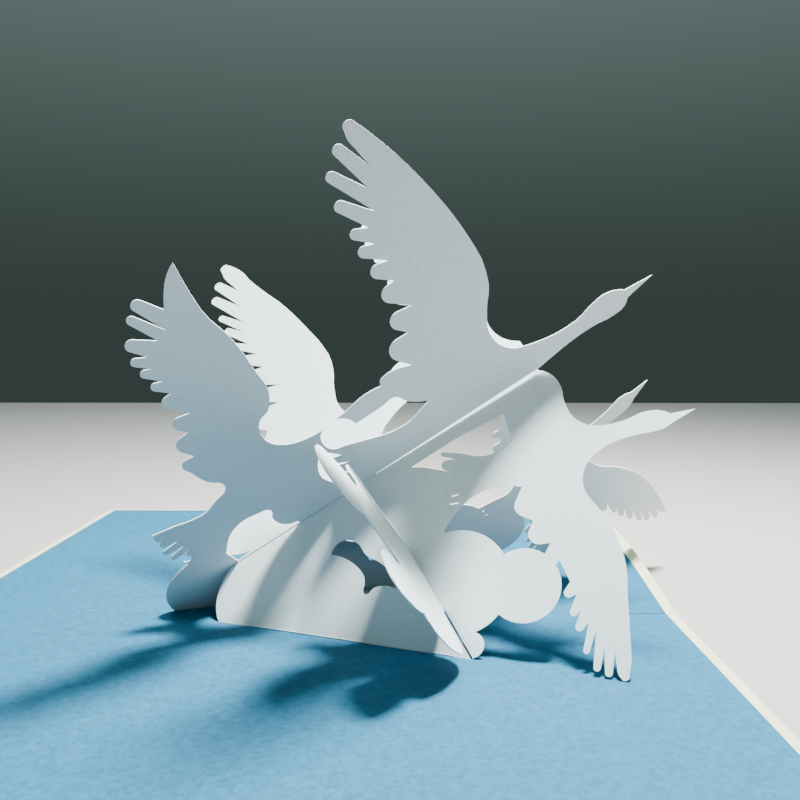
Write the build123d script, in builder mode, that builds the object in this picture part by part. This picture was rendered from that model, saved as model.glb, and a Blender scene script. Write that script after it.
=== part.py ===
"""Pop up card, lying open: paper cranes rise over clouds from two crossed sheets.

The folded cover carries a smaller folded liner. The front sheet is glued to the
front leaf and leans back, the back sheet is glued to the back leaf and leans
forward. The two cross along a sloping ridge that starts at the card's fold, and
a cloud brace stands nearly square to that ridge, hooked into both sheets.

Frame: X along the card's fold, Y to the back, Z up, millimetres. The origin is
the middle of the fold, on the underside of the cover.
"""
from build123d import *
from math import acos, atan2, cos, degrees, radians, sin, sqrt, tan
import os

# Card
card_width = 210.0
leaf_depth = 148.0
cover_thickness = 0.4
liner_thickness = 0.3
liner_margin = 3.0
crease_width = 0.8
crease_depth = 0.12

# Back leaf: its right edge has curled up, most of it within a short way of the fold.
# Each row gives its place from the fold to the back edge, the part of the full rise that
# it reaches at the side edge, and where across the curled part it leaves the table.
lift_reach = 58.0
edge_lift = 9.0
lift_row_shares = [
    (0, 0, 0.6), (0.14, 0.38, 0.6), (0.3, 0.75, 0.6),
    (0.42, 0.9, 0.56), (0.65, 0.98, 0.35), (1, 1, 0.06),
]
lift_bend_share = 0.35

# Standing sheets
sheet_thickness = 0.3
slot_clearance = 0.12
slit_width = 0.5
fold_point_inset = 64.0
ridge_length = 126.5
ridge_rise = 32.7
glue_turn = 22.3
brace_lean = 2.0

# Glue tabs, measured along the glue line from the fold point and square to it
tab_width = 9.0
tab_start = 30.0
tab_end = 88.0
tab_bevel = 5.0

# Places along and below the ridge, in hundredths of ridge_length
lap_share = 58.0
brace_share = 55.8
brace_lap_share = 25.3
foot_share = 57.3
overrun_share = 2.0

# Width of a feather's round tip, as a share of its width at the root
tip_width_share = 0.72

# Smooth outlines, in degrees: an arc that turns off by less than the first angle is drawn
# straight, and one arc does for a stretch where the corner it leaves is below the second
straight_angle = 1.2
corner_angle = 7.0

# One hundredth of the ridge, the unit of every outline table
hundredth = ridge_length / 100

liner_top = cover_thickness + liner_thickness
fold_point = Vector(fold_point_inset - card_width / 2, 0, liner_top)
ridge_dir = Vector(cos(radians(ridge_rise)), 0, sin(radians(ridge_rise)))
glue_dir = Vector(cos(radians(glue_turn)), -sin(radians(glue_turn)), 0)
glue_slope = tan(radians(ridge_dir.get_angle(glue_dir)))
front_normal = glue_dir.cross(ridge_dir).normalized()
back_normal = Vector(-front_normal.X, front_normal.Y, -front_normal.Z)
front_plane = Plane(fold_point, x_dir=ridge_dir, z_dir=front_normal)
back_plane = Plane(fold_point, x_dir=ridge_dir, z_dir=back_normal)

# The brace leans a little back towards the fold point
brace_rise = radians(ridge_rise + brace_lean)
brace_normal = Vector(cos(brace_rise), 0, sin(brace_rise))
brace_origin = fold_point + ridge_dir * (brace_share * hundredth)
brace_plane = Plane(brace_origin, x_dir=Vector(0, -1, 0), z_dir=brace_normal * -1)

# Line down which the brace crosses the front sheet, seen in either one's plane
crossing = brace_normal.cross(front_normal).normalized()
crossing = crossing * (-1 if crossing.Z > 0 else 1)
run_on_sheet = Vector(crossing.dot(ridge_dir), crossing.dot(front_plane.y_dir))
run_on_brace = Vector(crossing.dot(brace_plane.x_dir), crossing.dot(brace_plane.y_dir))


def curled_line(rise_start, height, lift):
    """Line across the curled part of the leaf, from its flat side to the raised edge."""
    edge_at = card_width / 2
    bend_at = rise_start + (edge_at - rise_start) * lift_bend_share
    flat = Line((edge_at - lift_reach, height), (rise_start, height))
    raised = Bezier((rise_start, height), (bend_at, height), (edge_at, height + lift))
    return flat @ 0, raised @ 1


def lifted_side(low, high):
    """Right part of the back leaf, curled up towards its edge, between two heights when flat."""
    sections = []
    for row, rise, across in lift_row_shares:
        rise_start = card_width / 2 - lift_reach * (1 - across)
        lift = edge_lift * rise
        with BuildSketch(Plane.XZ.offset(-leaf_depth * row)) as section:
            with BuildLine() as edge:
                low_flat, low_edge = curled_line(rise_start, low, lift)
                high_flat, high_edge = curled_line(rise_start, high, lift)
                Line(low_flat, high_flat)
                Line(low_edge, high_edge)
            make_face(edge.line.edges())
        sections.append(section.sketch)
    loft(sections)


def leaf_pair(low, high, margin):
    """Sheet folded across the middle, its back leaf curled at the right, set in by a margin."""
    width, depth = card_width - 2 * margin, leaf_depth - margin
    flat_width = card_width - lift_reach - margin
    with BuildSketch(Plane.XY.offset(low)) as front_leaf:
        with Locations((0, -depth / 2)):
            Rectangle(width, depth)
    with BuildSketch(Plane.XY.offset(low)) as back_leaf:
        with Locations((margin - card_width / 2, 0)):
            Rectangle(flat_width, depth, align=(Align.MIN, Align.MIN))
    lifted_side(low, high)
    with BuildSketch() as edges:
        Rectangle(width, 2 * depth)
    extrude(edges.sketch, amount=high + edge_lift, mode=Mode.INTERSECT)
    extrude(front_leaf.sketch, amount=high - low)
    extrude(back_leaf.sketch, amount=high - low)
    with BuildSketch(Plane.YZ.offset(-card_width / 2)) as crease:
        Polygon(
            (-crease_width / 2, high),
            (0, high - crease_depth),
            (crease_width / 2, high),
            align=None,
        )
    extrude(crease.sketch, amount=card_width, mode=Mode.SUBTRACT)


def slot_width(angle):
    """Slot that clears a sheet crossing at this angle, in degrees."""
    slanted = sheet_thickness * (1 + abs(cos(radians(angle)))) / sin(radians(angle))
    return slanted + 2 * slot_clearance


ridge_slot = slot_width(front_normal.get_angle(back_normal))
brace_slot = slot_width(front_normal.get_angle(brace_normal))


def spot(share):
    """Place on a sheet that a pair of hundredths of the ridge stands for."""
    return Vector(share[0] * hundredth, share[1] * hundredth)


def on_base(along, below=0):
    """Pair on the line where a sheet meets the card, or a little below it."""
    return (along, -along * glue_slope - below)


def headings(points):
    """Direction at each point, taken from the circle through it and its neighbours."""
    found = []
    for before, point, after in zip(points, points[1:], points[2:]):
        back, ahead = point - before, after - point
        heading = back * (ahead.length / back.length) + ahead * (back.length / ahead.length)
        found.append(heading.normalized())
    first, last = (points[1] - points[0]).normalized(), (points[-1] - points[-2]).normalized()
    start = first * (2 * first.dot(found[0])) - found[0]
    end = last * (2 * last.dot(found[-1])) - found[-1]
    return [start, *found, end]


def bend(start, end, heading):
    """Arc that leaves its start in the given direction, or a line where it hardly bends."""
    if (end - start).get_angle(heading) < straight_angle:
        Line(start, end)
    else:
        TangentArc(start, end, tangent=heading)


def smooth_span(start, end, heading, end_heading):
    """One arc between two points, or two that join smoothly where one would leave a corner."""
    chord = end - start
    across = chord.normalized()
    one_arc_heading = across * (2 * across.dot(heading)) - heading
    if one_arc_heading.get_angle(end_heading) < corner_angle:
        bend(start, end, heading)
        return
    both = chord.dot(heading + end_heading)
    spread = 2 * (1 - heading.dot(end_heading))
    reach = chord.dot(chord) / (both + sqrt(both ** 2 + spread * chord.dot(chord)))
    middle = (start + end + (heading - end_heading) * reach) / 2
    bend(start, middle, heading)
    bend(end, middle, -end_heading)


def curve(shares):
    """Smooth line of arcs through the given places."""
    points = [spot(share) for share in shares]
    ways = headings(points)
    for index in range(len(points) - 1):
        smooth_span(points[index], points[index + 1], ways[index], ways[index + 1])


def straight(shares):
    """Straight runs through the given places."""
    Polyline(*[spot(share) for share in shares])


def flank_end(root, middle, radius, side):
    """Point where the flank from a root touches the circle of the tip, on one side of it."""
    way = root - middle
    turn = degrees(acos(radius / way.length)) * side
    return middle + way.normalized().rotate(Axis.Z, turn) * radius


def feather(root, tip, next_root):
    """Feather with straight flanks and a round tip, from its root to the next one."""
    near, end, far = spot(root), spot(tip), spot(next_root)
    axis = (end - (near + far) / 2).normalized()
    width = axis.cross(far - near).Z
    radius = abs(width) / 2 * tip_width_share
    side = 1 if width > 0 else -1
    middle = end - axis * radius
    first, second = flank_end(near, middle, radius, side), flank_end(far, middle, radius, -side)
    Line(near, first)
    ThreePointArc(first, end, second)
    Line(second, far)


def feathers(notches, tips):
    """Row of feathers, each from one notch over its tip to the next."""
    for root, tip, next_root in zip(notches, tips, notches[1:]):
        feather(root, tip, next_root)


def puffs(rounds):
    """Round cloud puffs, each with its centre and radius."""
    for along, across, radius in rounds:
        with Locations(spot((along, across))):
            Circle(radius * hundredth)


def slot(start, end, width):
    """Straight slot of even width between two points of the sheet."""
    run = end - start
    turn = degrees(atan2(run.Y, run.X))
    with Locations(Location(start + run / 2, (0, 0, turn))):
        Rectangle(run.length, width, mode=Mode.SUBTRACT)


def slits(pairs):
    """Thin slits, each between two places."""
    for start, end in pairs:
        slot(spot(start), spot(end), slit_width)


def glue_tab(side):
    """Tab folded in under the sheet; side is 1 on the front leaf, -1 on the back."""
    turned = Vector(glue_dir.X, glue_dir.Y * side, 0)
    foot_half = sheet_thickness / 2 / sqrt(1 - front_normal.Z ** 2)
    with BuildSketch(Plane(fold_point, x_dir=turned, z_dir=Vector(0, 0, 1))) as outline:
        Polygon(
            (tab_start, -foot_half * side),
            (tab_start + tab_bevel, tab_width * side),
            (tab_end - tab_bevel, tab_width * side),
            (tab_end, -foot_half * side),
            align=None,
        )
    extrude(outline.sketch, amount=sheet_thickness)


# High crane: its wing, drawn on both sheets, feathers from the tip down
high_wing_first_shares = [(90.3, 62), (89.5, 66), (89.1, 69.4), (90, 71.5), (91.3, 71.2)]
high_wing_lead_shares = [
    (91.3, 71.2), (93.5, 66), (96, 58.5), (99, 45), (100, 33.5), (99, 27.5),
    (96, 21.5), (94.5, 17), (95, 13), (98, 9),
]
high_wing_notches_shares = [
    (90.3, 62), (88, 59), (87, 54.5), (84.5, 52.5), (84, 49), (84.5, 44.5),
    (83.5, 40), (84, 33), (80.5, 28), (77.5, 20.5),
]
high_wing_tips_shares = [
    (86.5, 69), (83, 65.5), (81.5, 60), (81, 53.5), (80.5, 49.5), (80.5, 44.5),
    (80, 39), (78.5, 32.5), (75.5, 27),
]
high_wing_last_shares = [(77.5, 20.5), (74.5, 21.8), (71.8, 22), (70.2, 21.3), (70, 20.2)]
high_shoulder_shares = [(70, 20.2), (70.5, 15.9), (73, 12.5), (76.5, 10), (80, 5), (98, 5), (98, 9)]
high_wing_shift_share = 2.5
high_neck_top_shares = [
    (98, 9), (102, 7.5), (106.5, 6.5), (112, 6.5), (116.5, 8), (119.5, 8.5),
    (122.5, 7.5), (124, 6.4),
]
high_neck_under_shares = [
    (124, 4.2), (122.5, 2.5), (119.5, 2), (115, 2.5), (110.5, 2.4), (105, 1.6), (100, 0.6),
]
high_beak_shares = (130.5, 5.8)
high_breast_shares = [(100, 0.6), (90, 2), (92, 7), (98, 9)]

# Left crane on the back sheet, its first feather bent into a point
left_lead_shares = [
    (53, 67.5), (52.2, 63), (51.5, 57), (52.4, 48), (52, 41), (51, 33.5), (49, 30.7),
    (46, 29.3), (44.5, 26.5), (44.7, 23.6), (47.5, 20.5), (52, 19), (60, 19.5),
    (66.5, 20.6), (70, 20.2),
]
left_bent_feather_shares = [(53, 67.5), (50.8, 66.2), (48.8, 64.2), (46.5, 61)]
left_wing_notches_shares = [
    (46.5, 61), (44.5, 57), (42, 56.5), (38.5, 55), (37.5, 52.5), (37.5, 49),
    (37, 46), (37, 40), (34, 36.5), (31.5, 31), (28.7, 27.6),
]
left_wing_tips_shares = [
    (43, 65.5), (40.5, 63.5), (37, 59.5), (35.5, 56), (35.3, 53), (35, 49.5),
    (34.5, 45.5), (33, 40), (30.5, 35.5), (28.3, 30.5),
]
left_rump_shares = [
    (28.7, 27.6), (29.3, 24.5), (31.5, 20), (27.5, 18), (24.5, 17), (21.5, 17.3),
    (17.5, 18.5), (13, 19.5),
]
left_tail_notches_shares = [(13, 19.5), (16, 17), (16, 14.6), (16, 12.6), (16, 10.9), (13.5, 7.5)]
left_tail_tips_shares = [(12.6, 17.4), (12.3, 15.9), (11.4, 13.6), (11.8, 11.1), (13.2, 8.8)]
left_neck_shares = [(70, 20.2), (76.5, 15), (99, 6), (100, 0)]
left_back_window_shares = [
    (61, 15.5), (53.5, 13.5), (57.5, 11.5), (61, 10), (66.5, 8), (70.5, 7.8),
    (73.5, 8.8), (76.5, 10),
]
left_back_window_top_shares = [(76.5, 10), (73, 12.5), (70.5, 15.9), (68, 15.6), (61, 15.5)]
left_belly_window_shares = [
    (37.4, 0.9), (35.2, 1.9), (34, 4.5), (34.6, 8.3), (32.5, 9), (29, 9.5), (25.5, 8.5),
    (22.5, 6), (21, 4),
]
left_belly_window_sill_shares = [(21, 4), (21.6, 0.2), (38, 0.2), (37.4, 0.9)]

# Far crane on the front sheet: wing, hidden back and low neck
far_first_shares = [(49.5, 69), (48, 73.1), (46.9, 78.6), (47.7, 81.4), (49, 81.3)]
far_lead_shares = [
    (49, 81.3), (51, 78), (53.5, 69), (57, 59), (59.5, 49), (61, 41.5), (61.5, 35.5),
    (60.7, 31), (58.7, 26), (57.8, 21.5), (58.8, 18), (62.5, 16), (68, 15.8), (73, 16.8),
    (76.5, 16.6),
]
far_neck_under_shares = [
    (76.5, 14.2), (72.3, 11.9), (70, 11.4), (67.4, 10.5), (65.3, 9.6), (63.2, 8), (61.4, 5), (60.6, 0.8),
]
far_beak_shares = (81.5, 16)
far_body_shares = [(60.6, 0.8), (60.6, -1), (25, -1), (25, 0.6)]
far_wing_notches_shares = [
    (49.5, 69), (47.5, 65), (46.5, 59.5), (45.5, 56.5), (45, 52.5), (46, 48), (46, 43.5),
    (47.5, 36), (45.5, 31.5), (40, 26),
]
far_wing_tips_shares = [
    (44, 77), (41.5, 73), (41, 66), (41, 61), (40.6, 55.5), (40.6, 50), (40.4, 43.5),
    (40.6, 37), (37.5, 31),
]
far_back_shares = [(40, 26), (34, 20), (28, 14), (23, 8.5), (19.5, 3.5), (22, 1.6), (25, 0.6)]

# Near crane below the ridge: neck and head, then the wing that hangs to the card
near_neck_top_shares = [
    (100, 0), (101.6, -2.5), (101.8, -6), (100.4, -10), (100, -14), (101.5, -17.5),
    (104.5, -19.6), (108, -20.9), (112.5, -21.8), (115, -23.4), (116, -25),
]
near_neck_under_shares = [
    (115, -26.9), (113.5, -27), (111.5, -26.5), (108, -25), (105, -24), (101.5, -23.6),
    (98, -24), (94.8, -26),
]
near_wing_lead_shares = [
    (93.2, -29), (93.2, -33), (93.4, -38), (92, -44.5), (87, -53.5), (82.6, -61), (80.4, -63.6),
]
near_wing_first_shares = [(80.4, -63.6), (79.3, -63.7), (79, -62.7), (79.8, -60.4), (81.5, -57.5)]
near_beak_shares = (120.5, -27)
near_body_shares = [(80.8, -43.3), (81.7, -34.7), (88, -12), (100, 0)]
near_wing_notches_shares = [
    (81.5, -57.5), (79.5, -57), (80, -53.5), (79.6, -51.6), (79.6, -49), (80.5, -46),
    (80.8, -43.3),
]
near_wing_tips_shares = [
    (77.3, -61.7), (76, -59.8), (76, -56.2), (77, -51.9), (77.6, -49), (78.5, -45.2),
]

# Windows under the ridge, over and under the near crane's tail and body
upper_window_shares = [(65, -3.3), (76.5, -3.3), (88.5, -4.5), (87.4, -8), (87, -11)]
upper_window_low_shares = [(87, -11), (82.5, -11.5), (79.5, -10.3), (76.5, -7.5)]
near_tail_notches_shares = [(76.5, -7.5), (74.6, -7.6), (72.5, -10)]
near_tail_tips_shares = [(72.3, -4.6), (71.2, -7)]
near_tail_cloud_shares = [(72.5, -10), (71, -8.5), (68, -5.5), (65, -3.3)]
lower_window_shares = [(64.5, -20.4), (68, -18.5), (71, -17.5), (76.5, -17.4), (79.5, -18.6), (83, -21.3)]
near_scallop_notches_shares = [(83, -21.3), (81.2, -28.8), (81.7, -34.7)]
near_scallop_tips_shares = [(79.4, -26), (78.6, -32)]
lower_window_sill_shares = [(81.7, -34.7), (76, -38), (66, -30), (64.5, -20.4)]
hollow_window_shares = [
    (41, -11), (45.5, -10), (47, -11.6), (48, -16), (49.6, -18.5), (50.5, -25.5),
    (48.5, -23.7), (46, -22.8), (44.5, -23.2), (45.3, -18.5), (44, -14.5), (41, -11),
]
near_tail_slits_shares = [
    ((70, -10), (71.7, -11)), ((69.8, -12.4), (71.6, -12.9)),
    ((69.3, -14.4), (71, -15)), ((68.4, -15.9), (70.2, -16.7)),
]

# Twin of the near crane on the back sheet: higher head, spread wing, narrower body
twin_neck_top_shares = [
    (100, 0), (100.6, -5), (99.4, -10), (98.6, -15), (99.6, -20), (102, -23.4),
    (105, -24), (108, -23.5), (111.5, -22.4), (114, -21.5), (117, -22),
]
twin_beak_shares = (121.5, -21.4)
twin_neck_under_shares = [
    (117, -24.2), (114.5, -26), (111, -26.6), (108.5, -27), (104, -27.6), (100, -28.6), (96.5, -31),
]
twin_upper_window_shares = [(65, -3.3), (76.5, -3.3), (87.6, -4.6)]
twin_stub_wing_shares = [(87.6, -4.6), (86.4, -8.6), (84, -9.5), (85.3, -11.8), (82.6, -13.2), (82.4, -15)]
twin_back_shares = [(82.4, -15), (76.5, -14.5), (70.5, -13), (66.5, -8), (65, -3.3)]
twin_lower_window_shares = [
    (66.6, -27.2), (65.4, -22), (71, -18.4), (76.5, -18.4), (82, -20), (84, -24), (82, -28.1),
]
twin_belly_shares = [(82, -28.1), (80.7, -28.8), (75.9, -28.4), (70, -27.6), (66.6, -27.2)]
twin_tail_slits_shares = [
    ((66.8, -27.6), (70.5, -30)), ((71, -30.1), (73, -29.5)), ((71, -31.5), (73, -31.4)),
]
spread_wing_lead_shares = [
    (101, -35), (103, -39), (106, -42), (109, -46), (112, -54), (113, -61), (113.5, -69.5),
]
spread_wing_first_shares = [(113.5, -69.5), (112.4, -68.9), (111.2, -66.6)]
spread_wing_notches_shares = [
    (111.2, -66.6), (109.2, -65.4), (107.2, -63.2), (105.4, -60.6), (103.6, -58.6),
    (102, -55.6), (100.2, -52.8), (97.5, -50.5),
]
spread_wing_tips_shares = [
    (110.4, -69.6), (108, -68.6), (106, -66.8), (104, -64), (102.2, -61), (101, -58), (98.9, -55),
]
spread_wing_root_shares = [(97.5, -50.5), (88, -50), (90, -26), (100, -28), (101, -35)]

# Cloud banks at the left, the inner body behind them, then the round puffs that both sheets share
front_bank_shares = [(12.5, -9), (13.4, -6), (15.5, -3.2), (18.5, -0.8), (22, 0.2), (25, 0.6)]
back_bank_shares = [(2.9, -3), (3, 0), (4.3, 3), (6.3, 5), (9, 6.4), (13.5, 7.5)]
bank_body_shares = [(58.5, -43.5), (64, -38), (76, -40), (84, -38), (90, -20), (100, 0)]
ridge_overlap_shares = [(68, -1), (79, 8), (98, 9), (100, 0), (100, -1), (68, -1)]
open_end_share = 110
round_clouds_shares = [(62, -31.3, 10.7), (72.8, -39, 7.4), (58.3, -43.6, 2.5)]

# High crane's tail, seen at the opening beside the brace
high_tail_opening_shares = [(51.4, 13.8), (49, 11), (48.2, 8.5), (48.8, 6), (50.6, 3.4)]
high_tail_notches_shares = [(50.6, 3.4), (54.6, 4.4), (55.4, 7.2), (54.6, 10.2), (51.4, 13.8)]
high_tail_tips_shares = [(51.6, 5), (51.6, 7.8), (51.4, 10.6), (52.4, 12.9)]

# Cloud brace, measured sideways from the ridge and up it
brace_inner_shares = [(0, -6), (4.4, -6), (10.8, -14.5)]
brace_top_lobe_shares = [
    (10.8, -14.5), (11.8, -9), (13.6, -4), (13.2, 0), (12.4, 4), (15, 6.5), (18.5, 5.8),
    (19.9, 2.4), (22.3, 2.6), (23.6, 6.4), (27, 10.6), (31, 13.7), (36.5, 13.6), (41, 9.4),
    (39.5, 4.6), (34, -1),
]
brace_gap_shares = [(34, -1), (33.2, -7), (34.3, -12.5), (36.6, -8.8), (41.5, -7)]
brace_middle_lobe_shares = [(41.5, -7), (46, -8.2), (49.4, -11.8), (47.6, -16), (42.5, -20)]
brace_low_lobe_shares = [
    (42.5, -20), (43.9, -23), (42.4, -26.4), (38.6, -30), (33.5, -32.6), (28, -31.2), (24.6, -27.2),
]
brace_arch_shares = [(24.6, -27.2), (20, -27.6), (10, -26), (0, -25.4)]


def outlined(*stretches):
    """Face inside a closed outline of curved or straight stretches and feathers."""
    with BuildLine() as edge:
        for draw, *places in stretches:
            draw(*places)
    make_face(edge.line.edges())


def cut_out(*stretches):
    """Window with a closed outline of curved or straight stretches and feathers."""
    with BuildLine() as edge:
        for draw, *places in stretches:
            draw(*places)
    make_face(edge.line.edges(), mode=Mode.SUBTRACT)


def shifted(places, shift):
    """The same places, moved along the ridge."""
    return [(along + shift, across) for along, across in places]


def high_wing(shift=0):
    """Tall wing of the high crane, closed under its shoulder."""
    lead = shifted(high_wing_lead_shares, shift)
    notches = shifted(high_wing_notches_shares, shift)
    tips = shifted(high_wing_tips_shares, shift)
    outlined(
        (curve, lead),
        (curve, shifted(high_wing_first_shares, shift)),
        (feathers, notches, tips),
        (curve, shifted(high_wing_last_shares, shift)),
        (straight, shifted(high_shoulder_shares, shift)),
    )


def low_crane(neck_top, beak, neck_under):
    """Neck, head and hanging wing of a crane below the ridge."""
    outlined(
        (curve, neck_top),
        (straight, [neck_top[-1], beak, neck_under[0]]),
        (curve, neck_under + near_wing_lead_shares),
        (curve, near_wing_first_shares),
        (feathers, near_wing_notches_shares, near_wing_tips_shares),
        (straight, near_body_shares),
    )


def bank_edge(left):
    """Straight edges of the cloud bank from its left end, under the card and up to the ridge."""
    foot = on_base(foot_share, overrun_share)
    return [left, on_base(left[0], overrun_share), foot, on_base(foot_share), *bank_body_shares]


def brace_slot_on_sheet():
    """Slot that takes the brace, open at the sheet's foot."""
    start = spot((brace_share, 0)) + run_on_sheet * (brace_lap_share * hundredth - slot_clearance)
    end = spot((brace_share, 0)) + run_on_sheet * (2 * brace_lap_share * hundredth)
    slot(start, end, brace_slot)


# Cover: one folded sheet, creased on top along the fold
with BuildPart() as cover:
    leaf_pair(0, cover_thickness, 0)
cover.part.label = "cover"

# Liner: one folded sheet glued inside the cover
with BuildPart() as liner:
    leaf_pair(cover_thickness, liner_top, liner_margin)
liner.part.label = "liner"

# Front sheet: cloud bank and near crane below the ridge, two wings above it
with BuildPart() as front_sheet:
    with BuildSketch(front_plane.offset(-sheet_thickness / 2)):
        outlined(
            (curve, front_bank_shares),
            (straight, [front_bank_shares[-1], bank_body_shares[-1]]),
            (straight, bank_edge(front_bank_shares[0])),
        )
        low_crane(near_neck_top_shares, near_beak_shares, near_neck_under_shares)
        cut_out(
            (straight, upper_window_shares),
            (curve, upper_window_low_shares),
            (feathers, near_tail_notches_shares, near_tail_tips_shares),
            (curve, near_tail_cloud_shares),
        )
        cut_out(
            (curve, lower_window_shares),
            (feathers, near_scallop_notches_shares, near_scallop_tips_shares),
            (straight, lower_window_sill_shares),
        )
        cut_out((curve, hollow_window_shares))
        slits(near_tail_slits_shares)
        puffs(round_clouds_shares)
        outlined(
            (curve, far_lead_shares),
            (straight, [far_lead_shares[-1], far_beak_shares, far_neck_under_shares[0]]),
            (curve, far_neck_under_shares),
            (straight, far_body_shares),
            (curve, far_back_shares),
            (feathers, far_wing_notches_shares, far_wing_tips_shares),
            (curve, far_first_shares),
        )
        high_wing(high_wing_shift_share)
        outlined((straight, ridge_overlap_shares))
        slot(spot((0, 0)), spot((lap_share, 0)) + Vector(slot_clearance, 0), ridge_slot)
        brace_slot_on_sheet()
    extrude(amount=sheet_thickness)
    split(bisect_by=Plane.XY.offset(liner_top), keep=Keep.TOP)
    glue_tab(1)
front_sheet.part.label = "front_sheet"

# Back sheet: left crane and high crane above the ridge, cloud bank and twin crane below it
with BuildPart() as back_sheet:
    with BuildSketch(back_plane.offset(-sheet_thickness / 2)):
        outlined(
            (curve, back_bank_shares),
            (feathers, left_tail_notches_shares, left_tail_tips_shares),
            (curve, left_rump_shares),
            (feathers, left_wing_notches_shares, left_wing_tips_shares),
            (curve, left_bent_feather_shares),
            (curve, left_lead_shares),
            (straight, left_neck_shares),
            (straight, bank_edge(back_bank_shares[0])),
        )
        high_wing()
        outlined(
            (curve, high_neck_top_shares),
            (straight, [high_neck_top_shares[-1], high_beak_shares, high_neck_under_shares[0]]),
            (curve, high_neck_under_shares),
            (straight, high_breast_shares),
        )
        low_crane(twin_neck_top_shares, twin_beak_shares, twin_neck_under_shares)
        outlined(
            (curve, spread_wing_lead_shares),
            (curve, spread_wing_first_shares),
            (feathers, spread_wing_notches_shares, spread_wing_tips_shares),
            (straight, spread_wing_root_shares),
        )
        cut_out(
            (straight, twin_upper_window_shares),
            (curve, twin_stub_wing_shares),
            (curve, twin_back_shares),
        )
        cut_out((curve, twin_lower_window_shares), (curve, twin_belly_shares))
        cut_out((curve, hollow_window_shares))
        slits(twin_tail_slits_shares)
        cut_out((curve, left_back_window_shares), (curve, left_back_window_top_shares))
        cut_out((curve, left_belly_window_shares), (straight, left_belly_window_sill_shares))
        cut_out(
            (curve, high_tail_opening_shares),
            (feathers, high_tail_notches_shares, high_tail_tips_shares),
        )
        puffs(round_clouds_shares)
        slot(spot((lap_share, 0)) - Vector(slot_clearance, 0), spot((open_end_share, 0)), ridge_slot)
        brace_slot_on_sheet()
    extrude(amount=sheet_thickness)
    split(bisect_by=Plane.XY.offset(liner_top), keep=Keep.TOP)
    glue_tab(-1)
back_sheet.part.label = "back_sheet"

# Cloud brace: two mirrored halves joined under the ridge
with BuildPart() as cloud_brace:
    with BuildSketch(brace_plane.offset(-sheet_thickness / 2)):
        outlined(
            (straight, brace_inner_shares),
            (curve, brace_top_lobe_shares),
            (curve, brace_gap_shares),
            (curve, brace_middle_lobe_shares),
            (curve, brace_low_lobe_shares),
            (curve, brace_arch_shares),
            (straight, [brace_arch_shares[-1], brace_inner_shares[0]]),
        )
        slot(Vector(0, 0), run_on_brace * (brace_lap_share * hundredth + slot_clearance), brace_slot)
        mirror(about=Plane.YZ)
    extrude(amount=sheet_thickness)
cloud_brace.part.label = "cloud_brace"

os.makedirs("parts", exist_ok=True)
export_step(cover.part, "parts/cover.step")
export_step(liner.part, "parts/liner.step")
export_step(front_sheet.part, "parts/front_sheet.step")
export_step(back_sheet.part, "parts/back_sheet.step")
export_step(cloud_brace.part, "parts/cloud_brace.step")
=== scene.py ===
from math import cos, radians, sin

import bpy
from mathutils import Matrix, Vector


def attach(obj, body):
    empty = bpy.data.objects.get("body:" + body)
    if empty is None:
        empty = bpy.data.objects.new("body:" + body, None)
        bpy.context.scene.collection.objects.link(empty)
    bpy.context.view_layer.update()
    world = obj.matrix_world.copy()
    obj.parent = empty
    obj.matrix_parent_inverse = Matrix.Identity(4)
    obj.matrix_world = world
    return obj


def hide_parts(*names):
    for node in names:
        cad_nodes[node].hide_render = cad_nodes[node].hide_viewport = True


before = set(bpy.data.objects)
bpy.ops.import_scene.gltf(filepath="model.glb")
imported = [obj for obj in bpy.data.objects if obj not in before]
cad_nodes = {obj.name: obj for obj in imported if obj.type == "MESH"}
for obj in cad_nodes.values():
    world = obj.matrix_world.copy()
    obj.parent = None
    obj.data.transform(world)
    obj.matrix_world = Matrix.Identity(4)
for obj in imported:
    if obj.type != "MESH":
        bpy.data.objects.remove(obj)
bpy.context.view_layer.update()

# Camera: where the photograph was taken from, in the card's frame, and how far it looks
# down and to the left, in degrees
CAMERA_PLACE = Vector((0.02855, -0.23843, 0.07794))
CAMERA_PITCH = 4.10
CAMERA_YAW = 0.32
LENS_MM = 38.86
SENSOR_MM = 36.0
NEAREST_SEEN = 0.01

# Light: a small lamp overhead, a wider and weaker one above the back left
LIGHT_AIM = Vector((0.02, 0.0, 0.03))
KEY_PLACE = Vector((0.115, 0.055, 0.45))
KEY_SIZE = 0.085
KEY_WATTS = 14.5
KEY_COLOUR = (0.88, 1.0, 0.975)
FILL_PLACE = Vector((-0.30, 0.42, 0.85))
FILL_SIZE = 0.45
FILL_WATTS = 4.5
FILL_COLOUR = (0.82, 1.0, 0.96)

# Surround: how strongly it glows at the horizon and straight overhead
SURROUND_COLOUR = (0.62, 0.90, 0.84, 1.0)
HORIZON_GLOW = 0.06
OVERHEAD_GLOW = 0.50

# Floor
FLOOR_WIDTH = 1.6
FLOOR_COLOUR = (0.39, 0.345, 0.325, 1.0)
FLOOR_ROUGHNESS = 0.9

# Card: the noise that mottles its colour, the ends of the noise that the two colours take,
# and the fibre grain that roughens it
MOTTLE_DETAIL = 6.0
MOTTLE_ROUGHNESS = 0.65
MOTTLE_LOW = 0.35
MOTTLE_HIGH = 0.68
GRAIN_SCALE = 2600.0
GRAIN_DETAIL = 4.0
GRAIN_STRENGTH = 0.35
CARD_ROUGHNESS = 0.85
CARD_SPECULAR = 0.25

# Ridge where the standing sheets cross, as in the part's source: the point it starts from,
# its length and slope, and the turn of the back sheet's glue line from it, seen from above
FOLD_POINT = Vector((-0.041, 0.0, 0.0007))
RIDGE_LENGTH = 0.1265
RIDGE_RISE = radians(32.7)
GLUE_TURN = radians(22.3)

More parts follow.
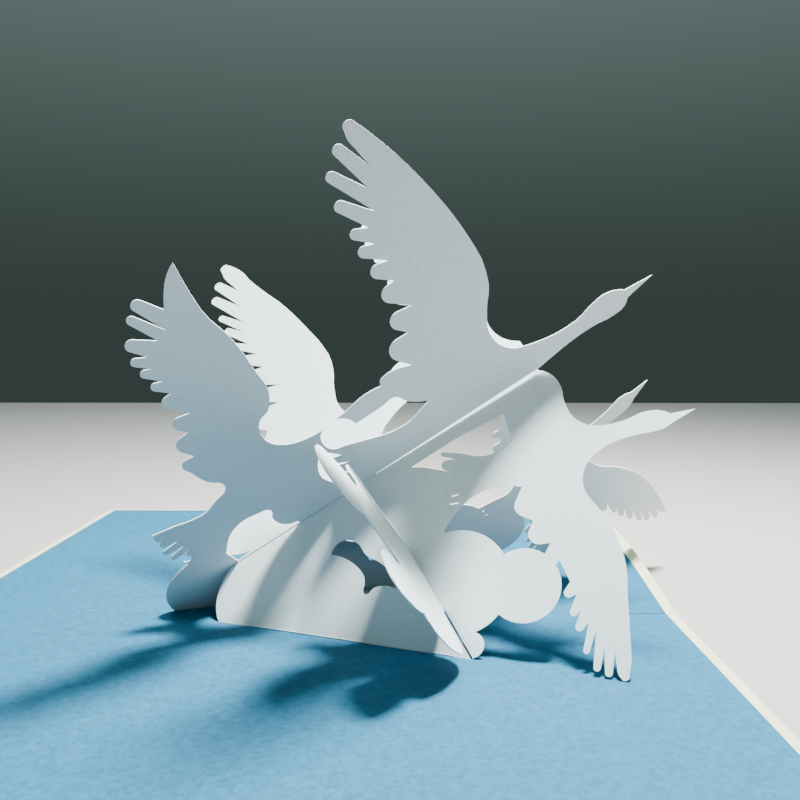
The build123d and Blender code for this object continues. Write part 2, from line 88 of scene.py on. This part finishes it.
# Open slot of the back sheet: it runs along the ridge from the lap to past the ridge's end,
# and its upper edge stands off the ridge by a gap that widens to the open end
LAP_SHARE = 0.58
OPEN_END_SHARE = 1.03
LAP_GAP = 0.00032
OPEN_END_GAP = 0.00085
CUT_DEPTH = 0.001


def new_material(name):
    """New node material, with its nodes, links and shader."""
    material = bpy.data.materials.new(name)
    material.use_nodes = True
    nodes = material.node_tree.nodes
    return material, nodes, material.node_tree.links, nodes["Principled BSDF"]


def card_material(name, low, high, mottle_scale, grain_height):
    """Matte card: faint mottling in the colour, fibre grain in the bump."""
    material, nodes, links, shader = new_material(name)
    place = nodes.new("ShaderNodeTexCoord")
    mottle = nodes.new("ShaderNodeTexNoise")
    mottle.inputs["Scale"].default_value = mottle_scale
    mottle.inputs["Detail"].default_value = MOTTLE_DETAIL
    mottle.inputs["Roughness"].default_value = MOTTLE_ROUGHNESS
    ramp = nodes.new("ShaderNodeValToRGB")
    dark_end, light_end = ramp.color_ramp.elements
    dark_end.position = MOTTLE_LOW
    dark_end.color = (*low, 1.0)
    light_end.position = MOTTLE_HIGH
    light_end.color = (*high, 1.0)
    grain = nodes.new("ShaderNodeTexNoise")
    grain.inputs["Scale"].default_value = GRAIN_SCALE
    grain.inputs["Detail"].default_value = GRAIN_DETAIL
    bump = nodes.new("ShaderNodeBump")
    bump.inputs["Strength"].default_value = GRAIN_STRENGTH
    bump.inputs["Distance"].default_value = grain_height
    links.new(place.outputs["Object"], mottle.inputs["Vector"])
    links.new(place.outputs["Object"], grain.inputs["Vector"])
    links.new(mottle.outputs["Fac"], ramp.inputs["Fac"])
    links.new(ramp.outputs["Color"], shader.inputs["Base Color"])
    links.new(grain.outputs["Fac"], bump.inputs["Height"])
    links.new(bump.outputs["Normal"], shader.inputs["Normal"])
    shader.inputs["Roughness"].default_value = CARD_ROUGHNESS
    shader.inputs["Specular IOR Level"].default_value = CARD_SPECULAR
    return material


def dress(sheet, material):
    """Give a sheet its card."""
    sheet.data.materials.clear()
    sheet.data.materials.append(material)


def back_sheet_spot(along, up, out):
    """Point in the back sheet's own plane: along the ridge, up from it and out to the front."""
    ridge = Vector((cos(RIDGE_RISE), 0, sin(RIDGE_RISE)))
    glue_line = Vector((cos(GLUE_TURN), sin(GLUE_TURN), 0))
    normal = glue_line.cross(ridge).normalized()
    return FOLD_POINT + ridge * along + normal.cross(ridge) * up + normal * out


def slot_wedge():
    """Wedge that fills the open slot, from the ridge up to its slanting upper edge."""
    lap = LAP_SHARE * RIDGE_LENGTH
    end = OPEN_END_SHARE * RIDGE_LENGTH
    outline = [(lap, 0), (end, 0), (end, OPEN_END_GAP), (lap, LAP_GAP)]
    back = [back_sheet_spot(along, up, -CUT_DEPTH) for along, up in outline]
    front = [back_sheet_spot(along, up, CUT_DEPTH) for along, up in outline]
    sides = [(0, 1, 5, 4), (1, 2, 6, 5), (2, 3, 7, 6), (3, 0, 4, 7)]
    mesh = bpy.data.meshes.new("slot_wedge")
    mesh.from_pydata(back + front, [], [(3, 2, 1, 0), (4, 5, 6, 7), *sides])
    wedge = bpy.data.objects.new("slot_wedge", mesh)
    bpy.context.scene.collection.objects.link(wedge)
    return wedge


def open_back_sheet(node, material):
    """Copy of the back sheet whose slot opens to a wedge, through which the front sheet shows."""
    wedge = slot_wedge()
    sheet = bpy.data.objects.new("back_sheet_open", node.data.copy())
    bpy.context.scene.collection.objects.link(sheet)
    cut = sheet.modifiers.new("slot", "BOOLEAN")
    cut.operation = "DIFFERENCE"
    cut.solver = "EXACT"
    cut.object = wedge
    shown = bpy.context.evaluated_depsgraph_get()
    sheet.data = bpy.data.meshes.new_from_object(sheet.evaluated_get(shown))
    sheet.modifiers.clear()
    sheet.data.shade_flat()
    bpy.data.objects.remove(wedge)
    dress(sheet, material)
    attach(sheet, "root")
    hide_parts("back_sheet")


def area_light(name, place, aim, size, watts, colour):
    """Square soft light that faces a point."""
    data = bpy.data.lights.new(name, "AREA")
    data.size = size
    data.energy = watts
    data.color = colour
    light = bpy.data.objects.new(name, data)
    bpy.context.scene.collection.objects.link(light)
    light.location = place
    light.rotation_mode = "QUATERNION"
    light.rotation_quaternion = (aim - place).to_track_quat("-Z", "Y")


def make_floor():
    """Plain pale floor under the card."""
    bpy.ops.mesh.primitive_plane_add(size=FLOOR_WIDTH, location=(0, 0, 0))
    floor = bpy.context.object
    floor.name = "floor"
    material, _, _, shader = new_material("pale_floor")
    shader.inputs["Base Color"].default_value = FLOOR_COLOUR
    shader.inputs["Roughness"].default_value = FLOOR_ROUGHNESS
    floor.data.materials.append(material)


def make_world():
    """Soft studio surround, brighter overhead than at the horizon."""
    world = bpy.data.worlds.new("studio")
    world.use_nodes = True
    nodes, links = world.node_tree.nodes, world.node_tree.links
    background = nodes["Background"]
    background.inputs["Color"].default_value = SURROUND_COLOUR
    place = nodes.new("ShaderNodeTexCoord")
    split = nodes.new("ShaderNodeSeparateXYZ")
    rise = nodes.new("ShaderNodeMapRange")
    rise.interpolation_type = "SMOOTHSTEP"
    rise.inputs["To Min"].default_value = HORIZON_GLOW
    rise.inputs["To Max"].default_value = OVERHEAD_GLOW
    links.new(place.outputs["Generated"], split.inputs["Vector"])
    links.new(split.outputs["Z"], rise.inputs["Value"])
    links.new(rise.outputs["Result"], background.inputs["Strength"])
    bpy.context.scene.world = world


def make_camera():
    """Camera at the photograph's viewpoint."""
    data = bpy.data.cameras.new("camera")
    data.lens = LENS_MM
    data.sensor_width = SENSOR_MM
    data.clip_start = NEAREST_SEEN
    camera = bpy.data.objects.new("camera", data)
    bpy.context.scene.collection.objects.link(camera)
    camera.location = CAMERA_PLACE
    camera.rotation_euler = (radians(90 - CAMERA_PITCH), 0, radians(CAMERA_YAW))
    bpy.context.scene.camera = camera


# Materials: darker and lighter colour, scale of the mottling, height of the grain
white_card = card_material("white_card", (0.74, 0.77, 0.78), (0.82, 0.84, 0.85), 900.0, 0.00003)
blue_card = card_material("blue_card", (0.010, 0.092, 0.175), (0.021, 0.140, 0.248), 700.0, 0.00005)
cream_card = card_material("cream_card", (0.60, 0.56, 0.38), (0.66, 0.62, 0.43), 600.0, 0.00003)

# Sheets of the card
dress(cad_nodes["cover"], cream_card)
dress(cad_nodes["liner"], blue_card)
dress(cad_nodes["front_sheet"], white_card)
dress(cad_nodes["cloud_brace"], white_card)
open_back_sheet(cad_nodes["back_sheet"], white_card)

# Studio
make_floor()
make_world()
area_light("key", KEY_PLACE, LIGHT_AIM, KEY_SIZE, KEY_WATTS, KEY_COLOUR)
area_light("fill", FILL_PLACE, LIGHT_AIM, FILL_SIZE, FILL_WATTS, FILL_COLOUR)
make_camera()
